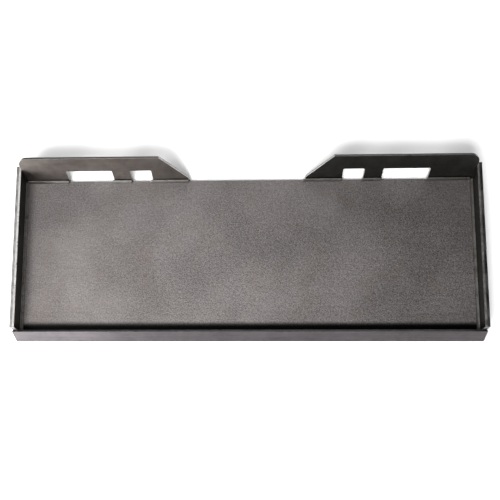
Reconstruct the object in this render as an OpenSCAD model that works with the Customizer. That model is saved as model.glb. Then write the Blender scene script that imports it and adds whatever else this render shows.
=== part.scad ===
// Universal skid steer attachment plate, lying on its weld face.
// The coupler side looks up (+Z), the hook edge is at -Y and the latch edge is at +Y.
// The origin is the middle of the main plate, on the weld face.

/* [Main plate] */
// Width across the end plates
overall_w = 1156; // [970:1:1400]
// Height from the latch edge to the outer corner of the hook
plate_h = 406; // [320:1:500]
// Thickness of the main plate
plate_t = 6.35; // [4.5:0.05:9]

/* [Hook rail] */
// Width of the hook bar, measured on its outer face
hook_len = 38; // [30:0.5:50]
// Thickness of the hook bar
hook_t = 6.35; // [4.5:0.05:8]
// Angle between the hook bar and the main plate
hook_angle = 48; // [40:1:60]

/* [Latch flanges] */
// Width of a flange from its foot to its free edge, measured on its inner face
flange_len = 80.5; // [66:0.5:100]
// Thickness of a flange
flange_t = 6.35; // [4.5:0.05:9]
// Lean of the flanges away from square to the main plate
flange_lean = 30; // [20:1:40]
// Clear gap between the feet of the two flanges
flange_gap = 294; // [200:1:340]
// Height of the square end at the foot of a flange, below the slant
flange_square_end = 8.5; // [8.5:0.5:20]
// Angle between the slanted end of a flange and its foot
flange_slant = 47; // [40:1:55]
// Radius where the square end meets the slant
flange_end_r = 20; // [6:1:20]
// Radius of the outer corner of a flange
flange_corner_r = 25; // [6:1:40]

/* [Latch windows] */
// Distance from the foot end of a flange to its short window
short_window_x = 93; // [70:1:120]
// Width of the short window
short_window_w = 53; // [35:1:64]
// Width of the leg between the two windows
middle_leg_w = 46; // [30:1:56]
// Width of the long window
long_window_w = 116; // [90:1:140]
// Height of the windows above the foot of a flange
window_h = 37; // [25:1:46]
// Radius of the upper corners of the windows
window_r = 3; // [1:0.5:8]

/* [End plates] */
// Thickness of an end plate
end_t = 12; // [6:0.5:16]
// Height of an end plate above the weld face
end_h = 44; // [32:1:56]
// Distance that an end plate stands proud of the latch flange
end_proud = 2; // [0:0.5:8]
// Distance from the outer corner of the hook to the full height of an end plate
end_setback = 37; // [32:1:60]

/* [Welds] */
// Leg of the fillet weld inside an end plate
end_weld_leg = 6; // [3:0.5:8]
// Leg of a flange weld on the main plate
flange_weld_foot = 8; // [4:0.5:10]
// Leg of a flange weld on the flange
flange_weld_rise = 4.5; // [3:0.5:8]
// Leg of the fillet weld under the hook bar
hook_weld_leg = 4; // [2:0.5:5]
// Crown of every weld bead above the straight line between its toes
weld_crown = 0.7; // [0.2:0.1:1.2]

/* [Hidden] */
$fn = 64;
crown_steps = 8;
half_w = overall_w / 2;
inner_x = half_w - end_t;
latch_y = plate_h / 2;
hook_y = -plate_h / 2;
// Hook section: outer free corner, inner free corner and the line where its inner face starts
hook_free = [hook_y + hook_len * cos(hook_angle), hook_len * sin(hook_angle)];
hook_free_in = hook_free + hook_t * [sin(hook_angle), -cos(hook_angle)];
hook_foot_y = hook_y + hook_t / sin(hook_angle);
hook_root_y = hook_foot_y + plate_t / tan(hook_angle);
// Flange section: directions up its face and out through its thickness
flange_up = [sin(flange_lean), cos(flange_lean)];
flange_out = [cos(flange_lean), -sin(flange_lean)];
flange_root = [latch_y, plate_t];
flange_free = flange_root + flange_len * flange_up;
flange_free_out = flange_free + flange_t * flange_out;
flange_foot_out = flange_outer_y(0);
foot_depth = plate_t / cos(flange_lean) + flange_t;
// A shape that trims another passes its sides by this much
trim_room = 2;
// Flange outline, measured across the part from its middle
foot_x = flange_gap / 2;
slant_top_x = foot_x + (flange_len - flange_square_end) / tan(flange_slant);
slant_up = [cos(flange_slant), sin(flange_slant)];
slant_tangent = flange_end_r * tan((90 - flange_slant) / 2);
short_x = foot_x + short_window_x;
middle_leg_x = short_x + short_window_w;
long_x = middle_leg_x + middle_leg_w;
outer_leg_x = long_x + long_window_w;
// End welds run between the hook's inner face and the latch edge
end_weld_y = hook_root_y + end_weld_leg / tan(hook_angle);

// Place of a flange's outer face at height z
function flange_outer_y(z) = latch_y + flange_t / cos(flange_lean) + (z - plate_t) * tan(flange_lean);

// Points on a shallow arc from a to b that bulges by h to the right of the line
function crown(a, b, h) =
    let (mid = (a + b) / 2, along = b - a, side = [along.y, -along.x] / norm(along))
    [for (i = [0:crown_steps])
        let (s = 2 * i / crown_steps - 1)
        mid + along * s / 2 + side * h * (1 - s * s)];

// Section drawn in Y and Z, run across the part from x0 to x1
module across(x0, x1) {
    translate([x0, 0, 0])
        rotate([90, 0, 90])
            linear_extrude(x1 - x0)
                children();
}

// Mirrored copy on the left of the part
module on_left() {
    mirror([1, 0, 0])
        children();
}

module main_plate() {
    color([0.43, 0.41, 0.39])
        across(-inner_x, inner_x)
            polygon([[hook_foot_y, 0], [latch_y, 0], [latch_y, plate_t], [hook_root_y, plate_t]]);
}

module hook_rail() {
    color([0.5, 0.48, 0.47])
        across(-half_w, half_w)
            polygon([[hook_y, 0], [hook_foot_y, 0], hook_free_in, hook_free]);
}

// Window open at the foot, with round upper corners
module window(x, w) {
    translate([x, -foot_depth]) {
        square([w, foot_depth + window_h - window_r]);
        translate([window_r, 0])
            square([w - 2 * window_r, foot_depth + window_h]);
    }
    for (side_x = [x + window_r, x + w - window_r])
        translate([side_x, window_h - window_r])
            circle(window_r);
}

// Flat outline of the right flange, with its foot line at y = 0
module flange_outline() {
    difference() {
        union() {
            polygon([
                [foot_x, -foot_depth],
                [inner_x, -foot_depth],
                [inner_x, flange_len - flange_corner_r],
                [inner_x - flange_corner_r, flange_len],
                [slant_top_x, flange_len],
                [foot_x, flange_square_end] + slant_tangent * slant_up,
                [foot_x, flange_square_end - slant_tangent]
            ]);
            translate([inner_x - flange_corner_r, flange_len - flange_corner_r])
                circle(flange_corner_r);
            translate([foot_x + flange_end_r, flange_square_end - slant_tangent])
                circle(flange_end_r);
        }
        window(short_x, short_window_w);
        window(long_x, long_window_w);
    }
}

module latch_flange() {
    intersection() {
        across(foot_x - trim_room, inner_x)
            polygon([[latch_y, 0], [flange_foot_out, 0], flange_free_out, flange_free, flange_root]);
        translate([0, latch_y, plate_t])
            rotate([90 - flange_lean, 0, 0])
                translate([0, 0, -flange_t - trim_room])
                    linear_extrude(flange_t + 2 * trim_room)
                        flange_outline();
    }
}

module right_latch_flange() {
    color([0.36, 0.35, 0.34])
        latch_flange();
}

module left_latch_flange() {
    color([0.4, 0.37, 0.35])
        on_left()
            latch_flange();
}

module end_plate() {
    across(inner_x, half_w)
        polygon([
            [hook_foot_y, 0],
            [flange_outer_y(0) + end_proud, 0],
            [flange_outer_y(end_h) + end_proud, end_h],
            [hook_y + end_setback, end_h],
            hook_free_in
        ]);
}

module right_end_plate() {
    color([0.48, 0.47, 0.46])
        end_plate();
}

module left_end_plate() {
    color([0.48, 0.47, 0.46])
        on_left()
            end_plate();
}

// Fillet bead in the corner between the main plate and the right end plate
module end_weld() {
    translate([0, latch_y, 0])
        rotate([90, 0, 0])
            linear_extrude(latch_y - end_weld_y)
                polygon(concat(
                    [[inner_x, plate_t]],
                    crown([inner_x, plate_t + end_weld_leg], [inner_x - end_weld_leg, plate_t], weld_crown)
                ));
}

module right_end_weld() {
    color([0.55, 0.54, 0.52])
        end_weld();
}

module left_end_weld() {
    color([0.55, 0.54, 0.52])
        on_left()
            end_weld();
}

// Bead in the acute corner between the main plate and the hook bar
module hook_weld() {
    root = [hook_root_y, plate_t];
    color([0.5, 0.49, 0.48])
        across(-inner_x, inner_x)
            polygon(concat(
                [root],
                crown(root + [hook_weld_leg, 0],
                    root + hook_weld_leg * [cos(hook_angle), sin(hook_angle)], weld_crown / 2)
            ));
}

// Bead across the foot of one flange leg
module flange_weld(x0, x1) {
    color([0.58, 0.56, 0.54])
        across(x0, x1)
            polygon(concat(
                [flange_root],
                crown(flange_root + flange_weld_rise * flange_up,
                    flange_root - [flange_weld_foot, 0], weld_crown)
            ));
}

module right_flange_weld_outer() {
    flange_weld(outer_leg_x, inner_x - end_weld_leg);
}

module right_flange_weld_middle() {
    flange_weld(middle_leg_x, long_x);
}

module right_flange_weld_inner() {
    flange_weld(foot_x, short_x);
}

module left_flange_weld_outer() {
    on_left()
        right_flange_weld_outer();
}

module left_flange_weld_middle() {
    on_left()
        right_flange_weld_middle();
}

module left_flange_weld_inner() {
    on_left()
        right_flange_weld_inner();
}

main_plate();
hook_rail();
left_latch_flange();
right_latch_flange();
left_end_plate();
right_end_plate();
left_end_weld();
right_end_weld();
hook_weld();
left_flange_weld_outer();
left_flange_weld_middle();
left_flange_weld_inner();
right_flange_weld_outer();
right_flange_weld_middle();
right_flange_weld_inner();
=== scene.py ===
import math

import bpy
from mathutils import Matrix, Vector


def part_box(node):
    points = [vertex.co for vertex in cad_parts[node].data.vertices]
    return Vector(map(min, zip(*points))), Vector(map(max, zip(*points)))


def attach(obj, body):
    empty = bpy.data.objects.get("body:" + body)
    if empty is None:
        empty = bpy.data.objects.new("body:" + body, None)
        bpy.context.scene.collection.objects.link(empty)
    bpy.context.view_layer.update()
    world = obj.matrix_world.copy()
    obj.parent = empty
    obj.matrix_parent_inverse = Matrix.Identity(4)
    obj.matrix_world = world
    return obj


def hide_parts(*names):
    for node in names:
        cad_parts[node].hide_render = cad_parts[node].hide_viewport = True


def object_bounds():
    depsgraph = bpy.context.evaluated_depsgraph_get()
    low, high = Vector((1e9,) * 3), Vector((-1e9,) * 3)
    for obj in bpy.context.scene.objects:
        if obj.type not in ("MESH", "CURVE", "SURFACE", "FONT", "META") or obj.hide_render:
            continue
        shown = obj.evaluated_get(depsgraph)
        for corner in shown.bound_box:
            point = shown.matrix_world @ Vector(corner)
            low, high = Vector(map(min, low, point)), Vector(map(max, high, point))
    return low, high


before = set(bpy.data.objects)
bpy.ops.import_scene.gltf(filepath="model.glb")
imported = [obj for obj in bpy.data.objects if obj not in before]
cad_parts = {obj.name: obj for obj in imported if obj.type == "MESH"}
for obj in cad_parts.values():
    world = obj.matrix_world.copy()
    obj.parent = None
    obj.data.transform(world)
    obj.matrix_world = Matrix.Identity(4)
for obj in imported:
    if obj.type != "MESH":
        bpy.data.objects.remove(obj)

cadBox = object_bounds()
mm = 0.001
tiny = 0.01 * mm
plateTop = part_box("main_plate")[1].z
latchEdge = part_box("main_plate")[1].y
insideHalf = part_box("main_plate")[1].x
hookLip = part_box("hook_rail")[1].y      # inner corner of the hook bar's free edge


# working on one piece at a time

def deselectAll():
    if bpy.context.object and bpy.context.object.mode != "OBJECT":
        bpy.ops.object.mode_set(mode="OBJECT")
    bpy.ops.object.select_all(action="DESELECT")


def pickUp(piece):
    deselectAll()
    piece.select_set(True)
    bpy.context.view_layer.objects.active = piece


def editAll(piece):
    pickUp(piece)
    bpy.ops.object.mode_set(mode="EDIT")
    bpy.ops.mesh.select_mode(type="VERT")
    bpy.ops.mesh.select_all(action="SELECT")


def applyModifier(piece, kind, settings):
    pickUp(piece)
    modifier = piece.modifiers.new(kind.title(), kind)
    for name, value in settings.items():
        setattr(modifier, name, value)
    bpy.ops.object.modifier_apply(modifier=modifier.name)


def placePiece(piece, node):
    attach(piece, "root")
    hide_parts(node)


# shader maths

class Wire:
    # the output of a shader node; sums on wires add Math nodes

    def __init__(self, board, socket):
        self.board = board
        self.socket = socket

    def __add__(self, other):
        return self.board.maths("ADD", self, other)

    def __radd__(self, other):
        return self.board.maths("ADD", other, self)

    def __sub__(self, other):
        return self.board.maths("SUBTRACT", self, other)

    def __rsub__(self, other):
        return self.board.maths("SUBTRACT", other, self)

    def __mul__(self, other):
        return self.board.maths("MULTIPLY", self, other)

    def __rmul__(self, other):
        return self.board.maths("MULTIPLY", other, self)


class NodeBoard:
    # the nodes of one material or of the sky

    def __init__(self, tree):
        self.tree = tree

    def node(self, kind, settings=None, inputs=None, output=0):
        made = self.tree.nodes.new(kind)
        for name, value in (settings or {}).items():
            setattr(made, name, value)
        for name, value in (inputs or {}).items():
            self.feed(made.inputs[name], value)
        return Wire(self, made.outputs[output])

    def feed(self, socket, value):
        if isinstance(value, Wire):
            self.tree.links.new(value.socket, socket)
        else:
            socket.default_value = value

    def maths(self, operation, first, second):
        return self.node("ShaderNodeMath", {"operation": operation}, {0: first, 1: second})

    def ramp(self, value, low, high, start=0.0, end=1.0):
        # start at low and end at high, with soft ends
        return self.node("ShaderNodeMapRange", {"interpolation_type": "SMOOTHSTEP"}, {
            "Value": value, "From Min": low, "From Max": high, "To Min": start, "To Max": end})


class Finish(NodeBoard):
    # one finish, as a material

    def __init__(self, name, metallic):
        self.material = bpy.data.materials.new(name)
        self.material.use_nodes = True
        super().__init__(self.material.node_tree)
        self.shader = self.tree.nodes["Principled BSDF"]
        self.shader.inputs["Metallic"].default_value = metallic
        self.place = self.node("ShaderNodeTexCoord", output="Object")

    def along(self, letter):
        return self.node("ShaderNodeSeparateXYZ", None, {0: self.place}, letter)

    def noise(self, size, detail, roughness, stretch=(1, 1, 1)):
        # soft random patches about this size in metres, drawn out by stretch
        squeeze = [1 / share for share in stretch]
        spot = self.node("ShaderNodeMapping", None, {"Vector": self.place, "Scale": squeeze})
        cloud = self.node("ShaderNodeTexNoise", None, {
            "Vector": spot, "Scale": 1 / size, "Detail": detail, "Roughness": roughness})
        return self.ramp(cloud, 0.3, 0.7)

    def pebbles(self, size):
        dome = self.node("ShaderNodeTexVoronoi", {"feature": "SMOOTH_F1"}, {
            "Vector": self.place, "Scale": 1 / size, "Smoothness": 0.7})
        return self.ramp(dome, 0.75, 0.1)

    def blend(self, share, first, second):
        return self.node("ShaderNodeMix", {"data_type": "RGBA"}, {
            0: share, 6: first, 7: second}, 2)

    def shine(self, colour, roughness, height, depth):
        # feeds the shader; height runs from 0 to 1 and depth is its real depth
        self.feed(self.shader.inputs["Base Color"], colour)
        self.feed(self.shader.inputs["Roughness"], roughness)
        bump = self.node("ShaderNodeBump", None, {
            "Height": height, "Distance": depth, "Strength": 1.0})
        self.feed(self.shader.inputs["Normal"], bump)
        return self.material


scaleMake = {
    "pebble": 1.5,               # size of a pebble over that of the grain
    "rustSize": 0.6,             # size of a rust patch over that of the clouds
    "rustFrom": 0.55, "rustTo": 0.95,
    "grainSwing": 0.1, "mottleSwing": 0.06, "streakSwing": 0.06,      # changes in roughness
    "pebbleRise": 0.5, "grainRise": 0.35, "streakRise": 0.15,         # shares of the height
}


def rolledSteel(name, look):
    # rolled face in its mill scale: clouds, fine pebbled grain and streaks along the rolling
    make = scaleMake
    scale = Finish(name, look["metallic"])
    clouds = scale.noise(look["cloud"], 3.0, 0.5)
    mottle = scale.noise(look["mottle"], 3.0, 0.6)
    grain = scale.noise(look["grain"], 2.0, 0.7)
    pebble = scale.pebbles(look["grain"] * make["pebble"])
    streak = scale.noise(look["streak"], 3.0, 0.6, look["streakAlong"])
    shade = (clouds * look["cloudShare"] + mottle * look["mottleShare"]
             + grain * look["grainShare"] + streak * look["streakShare"])
    colour = scale.blend(shade, look["dark"], look["light"])
    spots = scale.noise(look["cloud"] * make["rustSize"], 5.0, 0.7)
    rust = scale.ramp(spots, make["rustFrom"], make["rustTo"])
    colour = scale.blend(rust * look["rustShare"], colour, look["rust"])
    if "sootAndPaintedShade" in look:
        # painted shadow band along Y: the ends of the reach are where the painted shade is full and
        # where it is gone
        unshaded = scale.ramp(scale.along("Y"), *look["paintedShadeReach"])
        colour = scale.blend(unshaded * unshaded, look["sootAndPaintedShade"], colour)
    roughness = (look["rough"] + (grain - 0.5) * make["grainSwing"]
                 + (mottle - 0.5) * make["mottleSwing"] - (streak - 0.5) * make["streakSwing"])
    height = (pebble * make["pebbleRise"] + grain * make["grainRise"]
              + streak * make["streakRise"])
    return scale.shine(colour, roughness, height, look["depth"])


cutMake = {
    "lineShare": 0.4, "patchShare": 0.6,         # shares of the colour
    "lineSwing": 0.08, "patchSwing": 0.12,       # changes in roughness
}


def cutSteel(name, look):
    # cut face: fine lines and patches of oxide
    make = cutMake
    cut = Finish(name, look["metallic"])
    lines = cut.noise(look["line"], 2.0, 0.5)
    patch = cut.noise(look["patch"], 3.0, 0.6)
    shade = lines * make["lineShare"] + patch * make["patchShare"]
    colour = cut.blend(shade, look["dark"], look["light"])
    roughness = (look["rough"] + (patch - 0.5) * make["patchSwing"]
                 + (lines - 0.5) * make["lineSwing"])
    return cut.shine(colour, roughness, lines, look["depth"])


beadMake = {
    "sootSize": 0.7,             # size of a soot patch over that of the tint
    "sootFrom": 0.6, "sootTo": 1.0, "sootShare": 0.6,
    "fineSwing": 0.2,            # change in roughness
}


def beadSteel(name, look):
    # weld metal: silver, with a straw tint in places and a little soot
    make = beadMake
    bead = Finish(name, look["metallic"])
    tint = bead.noise(look["tint"], 3.0, 0.6)
    smoke = bead.noise(look["tint"] * make["sootSize"], 4.0, 0.65)
    sootAndPaintedShade = bead.ramp(smoke, make["sootFrom"], make["sootTo"])
    fine = bead.noise(look["fine"], 2.0, 0.5)
    colour = bead.blend(tint, look["silver"], look["straw"])
    colour = bead.blend(sootAndPaintedShade * make["sootShare"], colour, look["sootAndPaintedShade"])
    roughness = look["rough"] + (fine - 0.5) * make["fineSwing"]
    return bead.shine(colour, roughness, fine, look["depth"])


# finishes

plateScaleAndShadow = rolledSteel("plateScaleAndShadow", {
    "metallic": 0.9, "dark": (0.071, 0.064, 0.062, 1), "light": (0.233, 0.215, 0.211, 1),
    "rust": (0.123, 0.093, 0.075, 1), "rustShare": 0.2,
    "cloud": 0.18, "mottle": 0.007, "grain": 0.0030, "streak": 0.005,
    "streakAlong": (40, 1, 1),
    "cloudShare": 0.30, "mottleShare": 0.13, "grainShare": 0.54, "streakShare": 0.03,
    "rough": 0.5, "depth": 0.2 * mm,
    # painted shadow beside the weld under the hook: a near-black band on the plate that stands in for
    # the hook's deep shadow there
    "sootAndPaintedShade": (0.004, 0.004, 0.004, 1),
    "paintedShadeReach": (hookLip + 5 * mm, hookLip + 21 * mm)})
hookScale = rolledSteel("hookScale", {
    "metallic": 0.9, "dark": (0.033, 0.030, 0.032, 1), "light": (0.084, 0.075, 0.080, 1),
    "rust": (0.064, 0.047, 0.042, 1), "rustShare": 0.15,
    "cloud": 0.2, "mottle": 0.02, "grain": 0.002, "streak": 0.003,
    "streakAlong": (60, 1, 1),
    "cloudShare": 0.3, "mottleShare": 0.2, "grainShare": 0.15, "streakShare": 0.35,
    "rough": 0.4, "depth": 0.06 * mm})
leftFlangeScale = rolledSteel("leftFlangeScale", {
    "metallic": 0.9, "dark": (0.031, 0.025, 0.023, 1), "light": (0.065, 0.058, 0.052, 1),
    "rust": (0.048, 0.036, 0.029, 1), "rustShare": 0.3,
    "cloud": 0.09, "mottle": 0.018, "grain": 0.002, "streak": 0.005,
    "streakAlong": (30, 1, 1),
    "cloudShare": 0.4, "mottleShare": 0.3, "grainShare": 0.15, "streakShare": 0.15,
    "rough": 0.4, "depth": 0.05 * mm})
# a darker copy of the left flange's scale: painted shade for the right side, away from the lamps;
# also used on the right end plate
rightFlangeShadedScale = rolledSteel("rightFlangeShadedScale", {
    "metallic": 0.9, "dark": (0.011, 0.010, 0.010, 1), "light": (0.024, 0.024, 0.022, 1),
    "rust": (0.020, 0.015, 0.013, 1), "rustShare": 0.25,
    "cloud": 0.09, "mottle": 0.018, "grain": 0.002, "streak": 0.005,
    "streakAlong": (30, 1, 1),
    "cloudShare": 0.4, "mottleShare": 0.3, "grainShare": 0.15, "streakShare": 0.15,
    "rough": 0.4, "depth": 0.05 * mm})
endScale = rolledSteel("endScale", {
    "metallic": 0.9, "dark": (0.035, 0.033, 0.031, 1), "light": (0.09, 0.086, 0.082, 1),
    "rust": (0.07, 0.05, 0.04, 1), "rustShare": 0.2,
    "cloud": 0.1, "mottle": 0.015, "grain": 0.002, "streak": 0.004,
    "streakAlong": (1, 40, 1),
    "cloudShare": 0.4, "mottleShare": 0.3, "grainShare": 0.15, "streakShare": 0.15,
    "rough": 0.4, "depth": 0.06 * mm})
burnishedCut = cutSteel("burnishedCut", {
    "metallic": 1.0, "dark": (0.268, 0.264, 0.257, 1), "light": (0.517, 0.506, 0.500, 1),
    "line": 0.0016, "patch": 0.02, "rough": 0.32, "depth": 0.02 * mm})
brokenCut = cutSteel("brokenCut", {
    "metallic": 0.95, "dark": (0.108, 0.104, 0.102, 1), "light": (0.276, 0.269, 0.263, 1),
    "line": 0.001, "patch": 0.012, "rough": 0.48, "depth": 0.08 * mm})
wornArris = cutSteel("wornArris", {
    "metallic": 1.0, "dark": (0.048, 0.047, 0.046, 1), "light": (0.156, 0.153, 0.150, 1),
    "line": 0.004, "patch": 0.03, "rough": 0.4, "depth": 0.02 * mm})
barEdge = cutSteel("barEdge", {
    "metallic": 0.9, "dark": (0.015, 0.015, 0.015, 1), "light": (0.044, 0.042, 0.042, 1),
    "line": 0.002, "patch": 0.02, "rough": 0.42, "depth": 0.04 * mm})
# a darker copy of the weld metal: painted shade for the beads that lie in shadow
shadedWeld = beadSteel("shadedWeld", {
    "metallic": 1.0, "silver": (0.068, 0.066, 0.063, 1), "straw": (0.053, 0.048, 0.043, 1),
    "sootAndPaintedShade": (0.032, 0.030, 0.027, 1), "tint": 0.03, "fine": 0.0012,
    "rough": 0.5, "depth": 0.04 * mm})
weldMetal = beadSteel("weldMetal", {
    "metallic": 1.0, "silver": (0.140, 0.137, 0.133, 1), "straw": (0.105, 0.095, 0.084, 1),
    "sootAndPaintedShade": (0.035, 0.032, 0.029, 1), "tint": 0.02, "fine": 0.0012,
    "rough": 0.42, "depth": 0.04 * mm})
print("finishes ready")


# plates: the CAD plates with softened corners, their cut faces told apart from the rolled ones

softening = {
    "arris": 0.5 * mm,       # width of the softened corners
    "arrisSteps": 2,
    "sharp": math.radians(28),
    "level": math.radians(0.5),   # faces closer than this are one face
    "facing": 0.99,          # cosine between a rolled face and the through direction
    "rolledFacing": 0.9,     # cosine between a rolled edge and its direction
    "burnished": 0.42,       # share of a cut face that the shear left smooth
}


def softPlate(node, smoothSide, finishes, rolledEdge=(0, 0, 0)):
    # smoothSide is roughly the direction of the face that the shear came in from
    # finishes: rolled faces, smooth and rough band of a cut face, corners, and rolled edge
    # rolledEdge is the direction of an edge that was never cut
    steel = bpy.data.objects.new(node + "_steel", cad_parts[node].data.copy())
    bpy.context.scene.collection.objects.link(steel)
    steel.data.materials.clear()
    for finish in finishes:
        steel.data.materials.append(finish)
    editAll(steel)
    bpy.ops.mesh.remove_doubles(threshold=tiny)
    bpy.ops.mesh.dissolve_limited(angle_limit=softening["level"])
    bpy.ops.object.mode_set(mode="OBJECT")
    through = max(steel.data.polygons, key=lambda face: face.area).normal.copy()
    if through.dot(Vector(smoothSide)) < 0:
        through = -through
    depths = [vertex.co.dot(through) for vertex in steel.data.vertices]
    breakDepth = max(depths) - softening["burnished"] * (max(depths) - min(depths))
    editAll(steel)
    bpy.ops.mesh.bisect(plane_co=through * breakDepth, plane_no=through)
    bpy.ops.object.mode_set(mode="OBJECT")
    for face in steel.data.polygons:
        flat = abs(face.normal.dot(through)) > softening["facing"]
        smooth = face.center.dot(through) > breakDepth
        face.material_index = 0 if flat else 1 if smooth else 2
        if face.normal.dot(Vector(rolledEdge)) > softening["rolledFacing"]:
            face.material_index = 4
    editAll(steel)
    bpy.ops.mesh.select_mode(type="EDGE")
    bpy.ops.mesh.select_all(action="DESELECT")
    bpy.ops.mesh.edges_select_sharp(sharpness=softening["sharp"])
    bpy.ops.mesh.bevel(offset=softening["arris"], segments=softening["arrisSteps"],
                       material=3, clamp_overlap=False)
    bpy.ops.object.mode_set(mode="OBJECT")
    bpy.ops.object.shade_smooth_by_angle(angle=softening["sharp"])
    applyModifier(steel, "WEIGHTED_NORMAL", {"keep_sharp": True})
    placePiece(steel, node)
    return steel


flangeLean = math.radians(30)          # away from square to the main plate
flangeUp = Vector((0, math.sin(flangeLean), math.cos(flangeLean)))

softPlate("main_plate", (0, 0, 1),
          (plateScaleAndShadow, burnishedCut, brokenCut, wornArris))
softPlate("hook_rail", (0, -1, 1),
          (hookScale, barEdge, barEdge, hookScale))
softPlate("left_latch_flange", (0, -1, 0),
          (leftFlangeScale, burnishedCut, brokenCut, wornArris, barEdge), flangeUp)
softPlate("right_latch_flange", (0, -1, 0),
          (rightFlangeShadedScale, burnishedCut, brokenCut, wornArris, barEdge), flangeUp)
softPlate("left_end_plate", (1, 0, 0),
          (endScale, burnishedCut, brokenCut, wornArris))
# the right end plate is darker all over: painted shade, from the darker right-side scale and cut
# finishes
softPlate("right_end_plate", (-1, 0, 0),
          (rightFlangeShadedScale, brokenCut, wornArris, wornArris))
print("plates ready")


# weld beads: one ripple, repeated along the corner and closed by rounded ends

ripple = {
    "pitch": 2.4 * mm,
    "sides": 20,
    "sink": 1.0 * mm,        # depth of the bead's middle below the line between its toes
    "crown": 0.9 * mm,
    "lean": math.radians(50),   # lean of the rings, which bows the ripples forward
    "swell": (1.0, 1.06, 1.03),
    "wander": 0.35 * mm,
    "wanderSize": 6 * mm,
    "cap": ((0.5, 0.86), (0.35, 0.6), (0.15, 0.3)),   # steps of a rounded end: reach, share left
    "smooth": math.radians(60),
}


def weldBead(node, start, finish, toes, root):
    # start and finish are the ends of the corner, toes the two lines that the bead reaches
    run = (finish - start).normalized()
    middle = (toes[0] + toes[1]) / 2
    half = (toes[1] - toes[0]).length / 2
    length = (finish - start).length
    count = max(2, round(length / ripple["pitch"]))
    pitch = length / count
    tall = ripple["crown"] + ripple["sink"]
    wide = half / math.sqrt(1 - (ripple["sink"] / tall) ** 2)
    deselectAll()
    bpy.ops.mesh.primitive_circle_add(vertices=ripple["sides"], radius=1, fill_type="NOTHING",
                                      rotation=(0, math.pi / 2, 0))
    bead = bpy.context.object
    bead.name = node + "_bead"
    bpy.ops.object.transform_apply(location=True, rotation=True, scale=True)
    editAll(bead)
    bpy.ops.transform.resize(value=(1, wide, tall / math.cos(ripple["lean"])))
    bpy.ops.transform.rotate(value=ripple["lean"], orient_axis="Y", center_override=(0, 0, 0))
    swell = ripple["swell"]
    for before, after in zip(swell, swell[1:] + swell[:1]):
        bpy.ops.mesh.extrude_region_move(TRANSFORM_OT_translate={"value": (pitch / len(swell), 0, 0)})
        bpy.ops.transform.resize(value=(1, after / before, after / before))
    applyModifier(bead, "ARRAY", {
        "count": count, "use_relative_offset": False, "use_constant_offset": True,
        "constant_offset_displace": (pitch, 0, 0), "use_merge_vertices": True,
        "merge_threshold": tiny})
    for side in (-1, 1):
        editAll(bead)
        bpy.ops.mesh.select_all(action="DESELECT")
        bpy.ops.mesh.select_non_manifold()
        bpy.ops.object.mode_set(mode="OBJECT")
        for vertex in bead.data.vertices:
            if vertex.select and (vertex.co.x - length / 2) * side < 0:
                vertex.select = False
        bpy.ops.object.mode_set(mode="EDIT")
        for reach, share in ripple["cap"]:
            bpy.ops.mesh.extrude_region_move(
                TRANSFORM_OT_translate={"value": (side * reach * half, 0, 0)})
            bpy.ops.transform.resize(value=(1, share, share))
        bpy.ops.mesh.merge(type="CENTER")
    editAll(bead)
    bpy.ops.mesh.normals_make_consistent(inside=False)
    clouds = bpy.data.textures.new(node + "_wander", "CLOUDS")
    clouds.noise_scale = ripple["wanderSize"]
    applyModifier(bead, "DISPLACE", {
        "texture": clouds, "strength": ripple["wander"], "mid_level": 0.5})
    outward = middle - root
    outward -= run * outward.dot(run)
    across = outward.cross(run).normalized()
    outward = run.cross(across).normalized()
    turn = Matrix((run, across, outward)).transposed().to_4x4()
    corner = start + (middle - start) - run * (middle - start).dot(run)
    bead.matrix_world = Matrix.Translation(corner - outward * ripple["sink"]) @ turn
    pickUp(bead)
    bpy.ops.object.transform_apply(location=True, rotation=True, scale=True)
    bpy.ops.object.shade_smooth_by_angle(angle=ripple["smooth"])
    # the left end weld takes the lit weld metal, every other bead the darker copy, which is painted
    # shade
    bead.data.materials.append(weldMetal if node == "left_end_weld" else shadedWeld)
    placePiece(bead, node)
    return bead


def cornerBead(node):
    # works out where the bead lies from the box of its node
    low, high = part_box(node)
    if "end_weld" in node:
        side = math.copysign(1, low.x)
        wall = side * insideHalf
        toePlate = Vector((wall - side * (high.x - low.x), low.y, low.z))
        toeWall = Vector((wall, low.y, high.z))
        start = Vector((wall, low.y, low.z))
        finish = Vector((wall, high.y, low.z))
        return weldBead(node, start, finish, (toePlate, toeWall), start)
    if node == "hook_weld":
        leg = high.y - low.y
        lift = (high.z - low.z) / leg
        toePlate = Vector((low.x, high.y, low.z))
        toeHook = Vector((low.x, low.y + leg * math.sqrt(1 - lift * lift), high.z))
        root = Vector((low.x, low.y, low.z))
        return weldBead(node, root, Vector((high.x, low.y, low.z)), (toePlate, toeHook), root)
    toePlate = Vector((low.x, low.y, low.z))
    toeFlange = Vector((low.x, high.y, high.z))
    root = Vector((low.x, latchEdge, plateTop))
    return weldBead(node, root, Vector((high.x, latchEdge, plateTop)), (toePlate, toeFlange), root)


for node in sorted(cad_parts):
    if "weld" in node:
        cornerBead(node)
print("welds ready")


# floor, light and camera

studio = {
    "floorRadius": 1.9,
    "paper": ((0.86, 0.86, 0.86, 1), (0.88, 0.88, 0.88, 1)),
    "paperRough": 0.9, "paperSwing": 0.05, "paperDepth": 0.02 * mm,
    "paperCloud": 0.4, "paperPatch": 0.05, "paperTooth": 0.003,
    "horizonTop": 0.2, "skyDark": 0.5,     # heights where the bright horizon starts and ends its fade
    "horizonLight": 1.4, "skyLight": 0.0,
}


def softbox(name, place, target, size, watts):
    deselectAll()
    bpy.ops.object.light_add(type="AREA", location=place)
    lamp = bpy.context.object
    lamp.name = name
    lamp.data.shape = "RECTANGLE"
    lamp.data.size, lamp.data.size_y = size
    lamp.data.energy = watts
    lamp.rotation_euler = (Vector(target) - Vector(place)).to_track_quat("-Z", "Y").to_euler()
    return lamp


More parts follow.
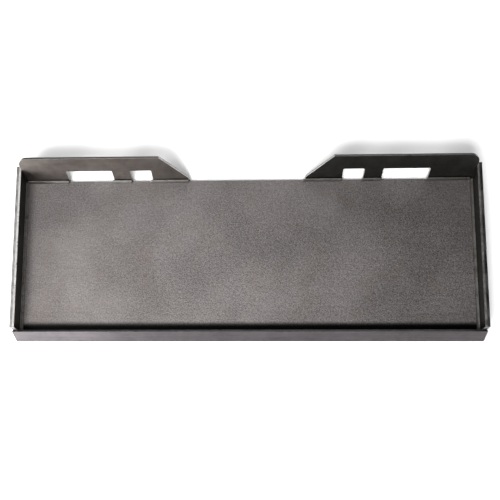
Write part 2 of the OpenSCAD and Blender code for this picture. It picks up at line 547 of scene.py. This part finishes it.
deselectAll()
bpy.ops.mesh.primitive_circle_add(vertices=128, radius=studio["floorRadius"], fill_type="NGON",
                                  location=(0, 0, cadBox[0][2]))
floor = bpy.context.object
floor.name = "studio_floor"
paper = Finish("studioPaper", 0.0)
paperColour = paper.blend(paper.noise(studio["paperCloud"], 2.0, 0.5), *studio["paper"])
paperPatch = paper.noise(studio["paperPatch"], 2.0, 0.5)
paperTooth = paper.noise(studio["paperTooth"], 2.0, 0.5)
floor.data.materials.append(paper.shine(
    paperColour, studio["paperRough"] + paperPatch * studio["paperSwing"],
    paperTooth, studio["paperDepth"]))

world = bpy.data.worlds.new("studio")
bpy.context.scene.world = world
world.use_nodes = True
sky = NodeBoard(world.node_tree)
skyLamp = world.node_tree.nodes["Background"]
skyLamp.inputs["Color"].default_value = (1, 1, 1, 1)
aim = sky.node("ShaderNodeTexCoord", output="Generated")
rise = sky.node("ShaderNodeSeparateXYZ", None, {0: aim}, "Z")
sky.feed(skyLamp.inputs["Strength"], sky.ramp(
    rise, studio["horizonTop"], studio["skyDark"], studio["horizonLight"], studio["skyLight"]))

lamps = {                    # name: place, target, size, watts
    "ceiling_back": ((-0.9, 1.0, 2.5), (-0.9, 1.0, 0), (3.4, 1.0), 18),
    "ceiling_left": ((-2.3, 0.2, 2.2), (-0.5, 0, 0), (1.0, 1.6), 17),
    "back_low": ((0, 2.4, 0.9), (0, 0.7, 0), (3.0, 0.6), 38),
    "front_low": ((-1.8, -1.9, 0.45), (-0.4, 0, 0), (1.7, 0.7), 125),
    "front_high": ((-0.8, -2.0, 2.7), (0, 0, 0), (2.6, 1.4), 205),
}
for name, (place, target, size, watts) in lamps.items():
    softbox(name, place, target, size, watts)

shot = {
    "place": (0.0437, -0.1213, 1.3147),
    "turn": (6.337, 1.604, -0.120),      # degrees about X, Y and Z, taken in the order Z, X, Y
    "lens": 37.78,
}
bpy.ops.object.camera_add(location=shot["place"])
camera = bpy.context.object
camera.rotation_mode = "ZXY"
camera.rotation_euler = [math.radians(angle) for angle in shot["turn"]]
camera.data.lens = shot["lens"]
bpy.context.scene.camera = camera
bpy.context.scene.view_settings.view_transform = "Standard"
print("studio ready")
